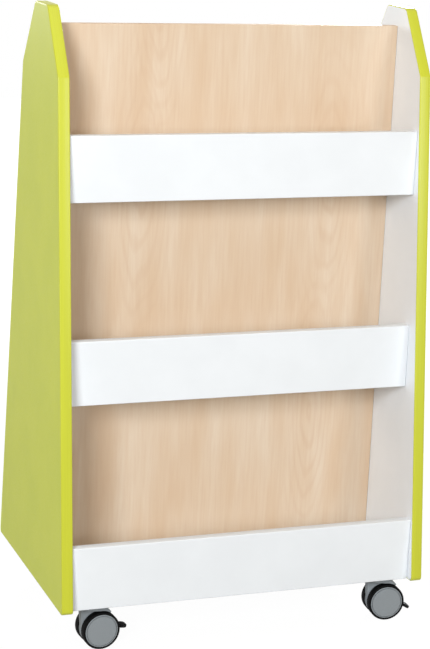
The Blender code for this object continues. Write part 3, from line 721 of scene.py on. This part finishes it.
slot_low = (slot_start, -PEDAL_SLOT_WIDTH / 2, slot_z - PEDAL_SLOT_HEIGHT / 2)
slot_high = (2 * WHEEL_RADIUS, PEDAL_SLOT_WIDTH / 2, slot_z + PEDAL_SLOT_HEIGHT / 2)
combine(housing, add_box("slot", slot_low, slot_high), "DIFFERENCE")
pin_bore = add_round("pin_bore", PIN_BORE_RADIUS, -half_hood, half_hood, 32)
combine(housing, lying(pin_bore, WHEEL_TRAIL + PIVOT_BEHIND, slot_z), "DIFFERENCE")
grey_nylon = moulded("grey_nylon", GREY, GREY_SHADE, GREY_ROUGHNESS, NYLON_GRAIN, GREY_SHEEN)
for place in CASTERS:
    put_copy(housing, place, "housing", place + "_caster", "grey_nylon", grey_nylon)
    axle = frame["nodes"][place + "_caster_axle"]
    axle.data.materials.clear()
    axle.data.materials.append(zinc)
bpy.data.objects.remove(housing)


# Wheels
# Twin wheels of grey nylon on one axle. The outer face is a plain disc with a groove near its rim.
# The inner side is open, with a rim that carries the tyre and a boss that turns on the axle.
WHEEL_INNER = 7 * MM
WHEEL_OUTER = 20 * MM
TYRE_THICKNESS = 3.4 * MM
TYRE_FIT = 0.1 * MM
RIM_RADIUS = WHEEL_RADIUS - TYRE_THICKNESS - TYRE_FIT
RIM_WALL = 3 * MM
CROWN_RISE = 0.7 * MM
DISC_THICKNESS = 4 * MM
DISC_BACK = WHEEL_OUTER - DISC_THICKNESS
BOSS_RADIUS = 7 * MM
BORE_RADIUS = 3.3 * MM
BORE_COVER = 3.2 * MM
BORE_END = WHEEL_OUTER - BORE_COVER
TYRE_INSET = 0.4 * MM
FACE_STEPS = (  # widths and rises in mm from the rim inward: arris, land, groove, disc
    (0.6, 0.6), (1, 0),
    (0.1, -2), (0.9, 0), (0.1, 2),
    (6, 0.06), (8, 0.04),
)

wheel = add_round("wheel", RIM_RADIUS, WHEEL_INNER + TYRE_INSET, WHEEL_OUTER - CROWN_RISE, 96)
step_face(wheel, 1, FACE_STEPS)
bpy.ops.object.mode_set(mode="EDIT")
pick(wheel, "FACE", lambda face: face.normal.z < -FACING)
for width, depth in ((RIM_WALL, DISC_BACK - WHEEL_INNER - TYRE_INSET),
                     (RIM_RADIUS - RIM_WALL - BOSS_RADIUS, WHEEL_INNER - DISC_BACK),
                     (BOSS_RADIUS - BORE_RADIUS, BORE_END - WHEEL_INNER)):
    bpy.ops.mesh.inset(thickness=width)
    bpy.ops.mesh.extrude_region_move(TRANSFORM_OT_translate={"value": (0, 0, depth)})
bpy.ops.object.mode_set(mode="OBJECT")


# Tyres
# Bands of soft black tread moulded on the wheels, with rounded shoulders.
# Shallow cross ribs on the tread, about 2 mm apart, help it grip.
TYRE_SHOULDER = 1.2 * MM
RIB_DEPTH = 0.25 * MM
RIB_FLANK = 0.12 * MM
TYRE_FACETS = 192
RUBBER = "0B0B0C"
RUBBER_DUST = "101010"
RUBBER_ROUGHNESS = 0.62
RUBBER_GRAIN = 3 * MM
RUBBER_SHEEN = 0.06

bpy.ops.object.select_all(action="DESELECT")
tyre_width = WHEEL_OUTER - WHEEL_INNER - 2 * TYRE_INSET
bpy.ops.mesh.primitive_cylinder_add(vertices=TYRE_FACETS, radius=WHEEL_RADIUS, depth=tyre_width,
                                    end_fill_type="NOTHING",
                                    location=(0, 0, (WHEEL_INNER + WHEEL_OUTER) / 2))
tyre = bpy.context.active_object
bpy.ops.object.transform_apply(location=True, rotation=True, scale=True)
wall = tyre.modifiers.new("wall", "SOLIDIFY")
wall.thickness = TYRE_THICKNESS
wall.use_even_offset = True
bpy.ops.object.modifier_apply(modifier=wall.name)
bpy.ops.object.mode_set(mode="EDIT")
pick(tyre, "EDGE", lambda edge: all(vertex.co.xy.length > WHEEL_RADIUS - TOUCH for vertex in edge.verts)
     and abs(edge.verts[0].co.z - edge.verts[1].co.z) < TOUCH)
bpy.ops.mesh.bevel(offset=TYRE_SHOULDER, segments=4, affect="EDGES")


def in_rib_gap(face):
    """True for every second facet of the tread."""
    middle = face.calc_center_median()
    facet = int(math.atan2(middle.y, middle.x) % math.tau / math.tau * TYRE_FACETS)
    return face.normal.xy.length > FACING and middle.xy.length > WHEEL_RADIUS - MM and facet % 2 == 0


pick(tyre, "FACE", in_rib_gap)
bpy.ops.mesh.inset(thickness=RIB_FLANK, depth=-RIB_DEPTH, use_individual=True)
bpy.ops.object.mode_set(mode="OBJECT")

rubber = moulded("black_tread_rubber", RUBBER, RUBBER_DUST, RUBBER_ROUGHNESS, RUBBER_GRAIN, RUBBER_SHEEN)
for place in CASTERS:
    for half, turn in (("front", math.pi / 2), ("rear", -math.pi / 2)):
        on_axle = Matrix.Translation((WHEEL_TRAIL, 0, WHEEL_RADIUS)) @ Matrix.Rotation(turn, 4, "X")
        body = f"{place}_caster_{half}_wheel"
        put_copy(wheel, place, half + "_wheel", body, "grey_nylon", grey_nylon, on_axle)
        put_copy(tyre, place, half + "_tyre", body, "black_tyre", rubber, on_axle)
bpy.data.objects.remove(wheel)
bpy.data.objects.remove(tyre)


# Brake pedals
# Levers of black nylon that pivot on a cross pin in the web and reach out between the wheels.
# The pad slopes down and has three cross ribs for the shoe.
ARM_THICKNESS = 5.8 * MM
ARM_HEIGHT = 6 * MM
ARM_EDGE_RADIUS = 0.5 * MM
ARM_TAPER = 0.55
HUB_RADIUS = 4.5 * MM
PIN_RADIUS = 2 * MM
PIN_LENGTH = 11.8 * MM
PAD_START = 23 * MM
PAD_LENGTH = 12.5 * MM
PAD_WIDTH = 18 * MM
PAD_THICKNESS = 5 * MM
PAD_SLOPE = math.radians(18)
PAD_TIP_RADIUS = 6 * MM
PAD_EDGE_RADIUS = 1.2 * MM
PAD_RIB = 1.1 * MM
PAD_RIB_RISE = 0.45 * MM
PAD_RIB_RADIUS = 0.4 * MM
PAD_RIB_MARGIN = 2.2 * MM
PAD_RIB_PLACES = (0.28, 0.5, 0.72)  # shares of the length of the pad
ARM_OVERLAP = PAD_LENGTH / 3
BLACK = "0E0E10"
BLACK_SHADE = "131315"
BLACK_ROUGHNESS = 0.4
BLACK_SHEEN = 0.12

half_pad = PAD_THICKNESS / 2
half_width = PAD_WIDTH / 2
pad = add_box("pad", (0, -half_width, -half_pad), (PAD_LENGTH, half_width, half_pad - PAD_RIB_RISE))
bpy.ops.object.mode_set(mode="EDIT")
pick(pad, "EDGE", lambda edge: all(vertex.co.x > PAD_LENGTH - TOUCH for vertex in edge.verts)
     and abs(edge.verts[0].co.y - edge.verts[1].co.y) < TOUCH)
bpy.ops.mesh.bevel(offset=PAD_TIP_RADIUS, segments=8, affect="EDGES")
bpy.ops.object.mode_set(mode="OBJECT")
round_edges(pad, PAD_EDGE_RADIUS, 3)
reach = half_width - PAD_RIB_MARGIN
for share in PAD_RIB_PLACES:
    x = PAD_LENGTH * share
    ridge = add_box("ridge", (x - PAD_RIB / 2, -reach, 0), (x + PAD_RIB / 2, reach, half_pad))
    round_edges(ridge, PAD_RIB_RADIUS, 2)
    combine(pad, ridge, "UNION")
pad.data.transform(Matrix.Translation((PAD_START, 0, 0)) @ Matrix.Rotation(PAD_SLOPE, 4, "Y"))
half_arm = ARM_THICKNESS / 2
arm_end = PAD_START + ARM_OVERLAP
pedal = add_box("pedal", (0, -half_arm, -ARM_HEIGHT / 2), (arm_end, half_arm, ARM_HEIGHT / 2))
bpy.ops.object.mode_set(mode="EDIT")
pick(pedal, "VERT", lambda vertex: vertex.co.x > PAD_START)
bpy.ops.transform.resize(value=(1, 1, ARM_TAPER), center_override=(PAD_START, 0, 0))
bpy.ops.transform.translate(value=(0, 0, -ARM_OVERLAP * math.sin(PAD_SLOPE)))
bpy.ops.object.mode_set(mode="OBJECT")
round_edges(pedal, ARM_EDGE_RADIUS, 2)
hub = lying(add_round("hub", HUB_RADIUS, TOUCH - half_arm, half_arm - TOUCH, 48), 0, 0)
round_edges(hub, ARM_EDGE_RADIUS, 2)
combine(pedal, hub, "UNION")
combine(pedal, pad, "UNION")
combine(pedal, lying(add_round("pin", PIN_RADIUS, -PIN_LENGTH / 2, PIN_LENGTH / 2, 32), 0, 0), "UNION")
black_nylon = moulded("black_nylon", BLACK, BLACK_SHADE, BLACK_ROUGHNESS, NYLON_GRAIN, BLACK_SHEEN)
for place in CASTERS:
    press = joints[place + "_caster_brake_press"]
    lift = math.radians(sum(press["range_deg"]) / 2)
    pivot = Matrix.Translation((WHEEL_TRAIL + PIVOT_BEHIND, 0, WHEEL_RADIUS - PIVOT_DROP))
    turned = pivot @ Matrix.Rotation(-lift, 4, "Y")
    put_copy(pedal, place, "brake_pedal", place + "_caster_brake", "black_nylon", black_nylon, turned)
bpy.data.objects.remove(pedal)


# Studio
# A white floor that fades into a white surround, under a top lamp, with a key and a fill lamp at
# the front and the same two, turned half round, at the rear, so that all sides are lit.
# Only camera, mirror and glass rays see the pure white, so it adds no light to the object.
FLOOR_RADIUS = 6
SHADOW_REACH = (0.7, 2.2)
SHADOW_SHARE = 0.2
FLOOR_GREY = "929292"
FLOOR_GLOW = 1.21  # brings the floor in full light up to the white of the surround
AMBIENT = 0.29
AMBIENT_TINT = "FFD89C"
LAMPS = [  # name, place and size in metres, power in watts
    ("key", (-2.45, -3.5, 1.92), 1.25, 146),
    ("fill", (1.3, -3.4, 1.25), 0.8, 31),
]
LAMPS += [("rear_" + name, (-x, -y, z), size, power) for name, (x, y, z), size, power in LAMPS]
LAMPS.append(("top", (0, -0.6, 3.2), 2, 15))
LAMP_TINT = "F5FBFF"
LAMP_TARGET = Vector((0, 0, 0.5))


def seen_by_eye(tree):
    """1 for camera, mirror and glass rays, and 0 for the rays that light the object."""
    path = add_node(tree, "LightPath", {})
    mirrored = add_node(tree, "Math", {0: path.outputs["Is Camera Ray"],
                                       1: path.outputs["Is Glossy Ray"]}, operation="ADD")
    return add_node(tree, "Math", {0: mirrored.outputs["Value"], 1: path.outputs["Is Transmission Ray"]},
                    operation="ADD", use_clamp=True).outputs["Value"]


world = bpy.data.worlds.new("white_surround")
bpy.context.scene.world = world
world.use_nodes = True
sky = world.node_tree
by_eye = seen_by_eye(sky)
strength = add_node(sky, "MapRange", {"Value": by_eye, "To Min": AMBIENT, "To Max": 1})
tint = add_node(sky, "Mix", {MIX_FACTOR: by_eye, MIX_A: linear(AMBIENT_TINT), MIX_B: (1, 1, 1, 1)},
                data_type="RGBA")
sky.links.new(tint.outputs[MIX_COLOUR], sky.nodes["Background"].inputs["Color"])
sky.links.new(strength.outputs["Result"], sky.nodes["Background"].inputs["Strength"])

bpy.ops.object.select_all(action="DESELECT")
bpy.ops.mesh.primitive_circle_add(vertices=96, radius=FLOOR_RADIUS, fill_type="NGON")
floor = bpy.context.active_object
floor.name = "floor"
paper, tree, shader, place = new_material("white_paper")
tree.nodes.remove(shader)
distance = add_node(tree, "VectorMath", {0: place}, operation="LENGTH")
shadow = add_node(tree, "MapRange", {"Value": distance.outputs["Value"], "From Min": SHADOW_REACH[0],
                                     "From Max": SHADOW_REACH[1], "To Min": SHADOW_SHARE, "To Max": 0},
                  interpolation_type="SMOOTHSTEP")
matt = add_node(tree, "BsdfDiffuse", {"Color": linear(FLOOR_GREY)})
glow = add_node(tree, "Emission", {"Color": (1, 1, 1, 1), "Strength": FLOOR_GLOW})
shown = add_node(tree, "MixShader", {0: shadow.outputs["Result"], 1: glow.outputs["Emission"],
                                     2: matt.outputs["BSDF"]})
surface = add_node(tree, "MixShader", {0: seen_by_eye(tree), 1: matt.outputs["BSDF"],
                                       2: shown.outputs["Shader"]})
tree.links.new(surface.outputs["Shader"], tree.nodes["Material Output"].inputs["Surface"])
floor.data.materials.append(paper)

for name, location, size, power in LAMPS:
    bpy.ops.object.light_add(type="AREA", location=location)
    lamp = bpy.context.active_object
    lamp.name = name
    lamp.data.size = size
    lamp.data.energy = power
    lamp.data.color = linear(LAMP_TINT)[:3]
    lamp.rotation_euler = (LAMP_TARGET - lamp.location).to_track_quat("-Z", "Y").to_euler()


# Camera
# It stands three metres off, in front on the left, at about the eye height of someone seated.
# It looks down on the bookcase and leans a little to one side.
CAMERA_PLACE = (-1.0841, -2.8566, 1.2369)
CAMERA_TURN = math.radians(20.695)
CAMERA_DIP = math.radians(14.115)
CAMERA_LEAN = math.radians(2.512)
CAMERA_LENS = 109.37
SENSOR_WIDTH = 36

camera = bpy.data.objects.new("camera", bpy.data.cameras.new("camera"))
camera.data.lens = CAMERA_LENS
camera.data.sensor_width = SENSOR_WIDTH
camera.matrix_world = (Matrix.Translation(CAMERA_PLACE)
                       @ Matrix.Rotation(-CAMERA_TURN, 4, "Z")
                       @ Matrix.Rotation(math.pi / 2 - CAMERA_DIP, 4, "X")
                       @ Matrix.Rotation(CAMERA_LEAN, 4, "Z"))
bpy.context.collection.objects.link(camera)
bpy.context.scene.camera = camera
bpy.context.scene.view_settings.view_transform = "Standard"
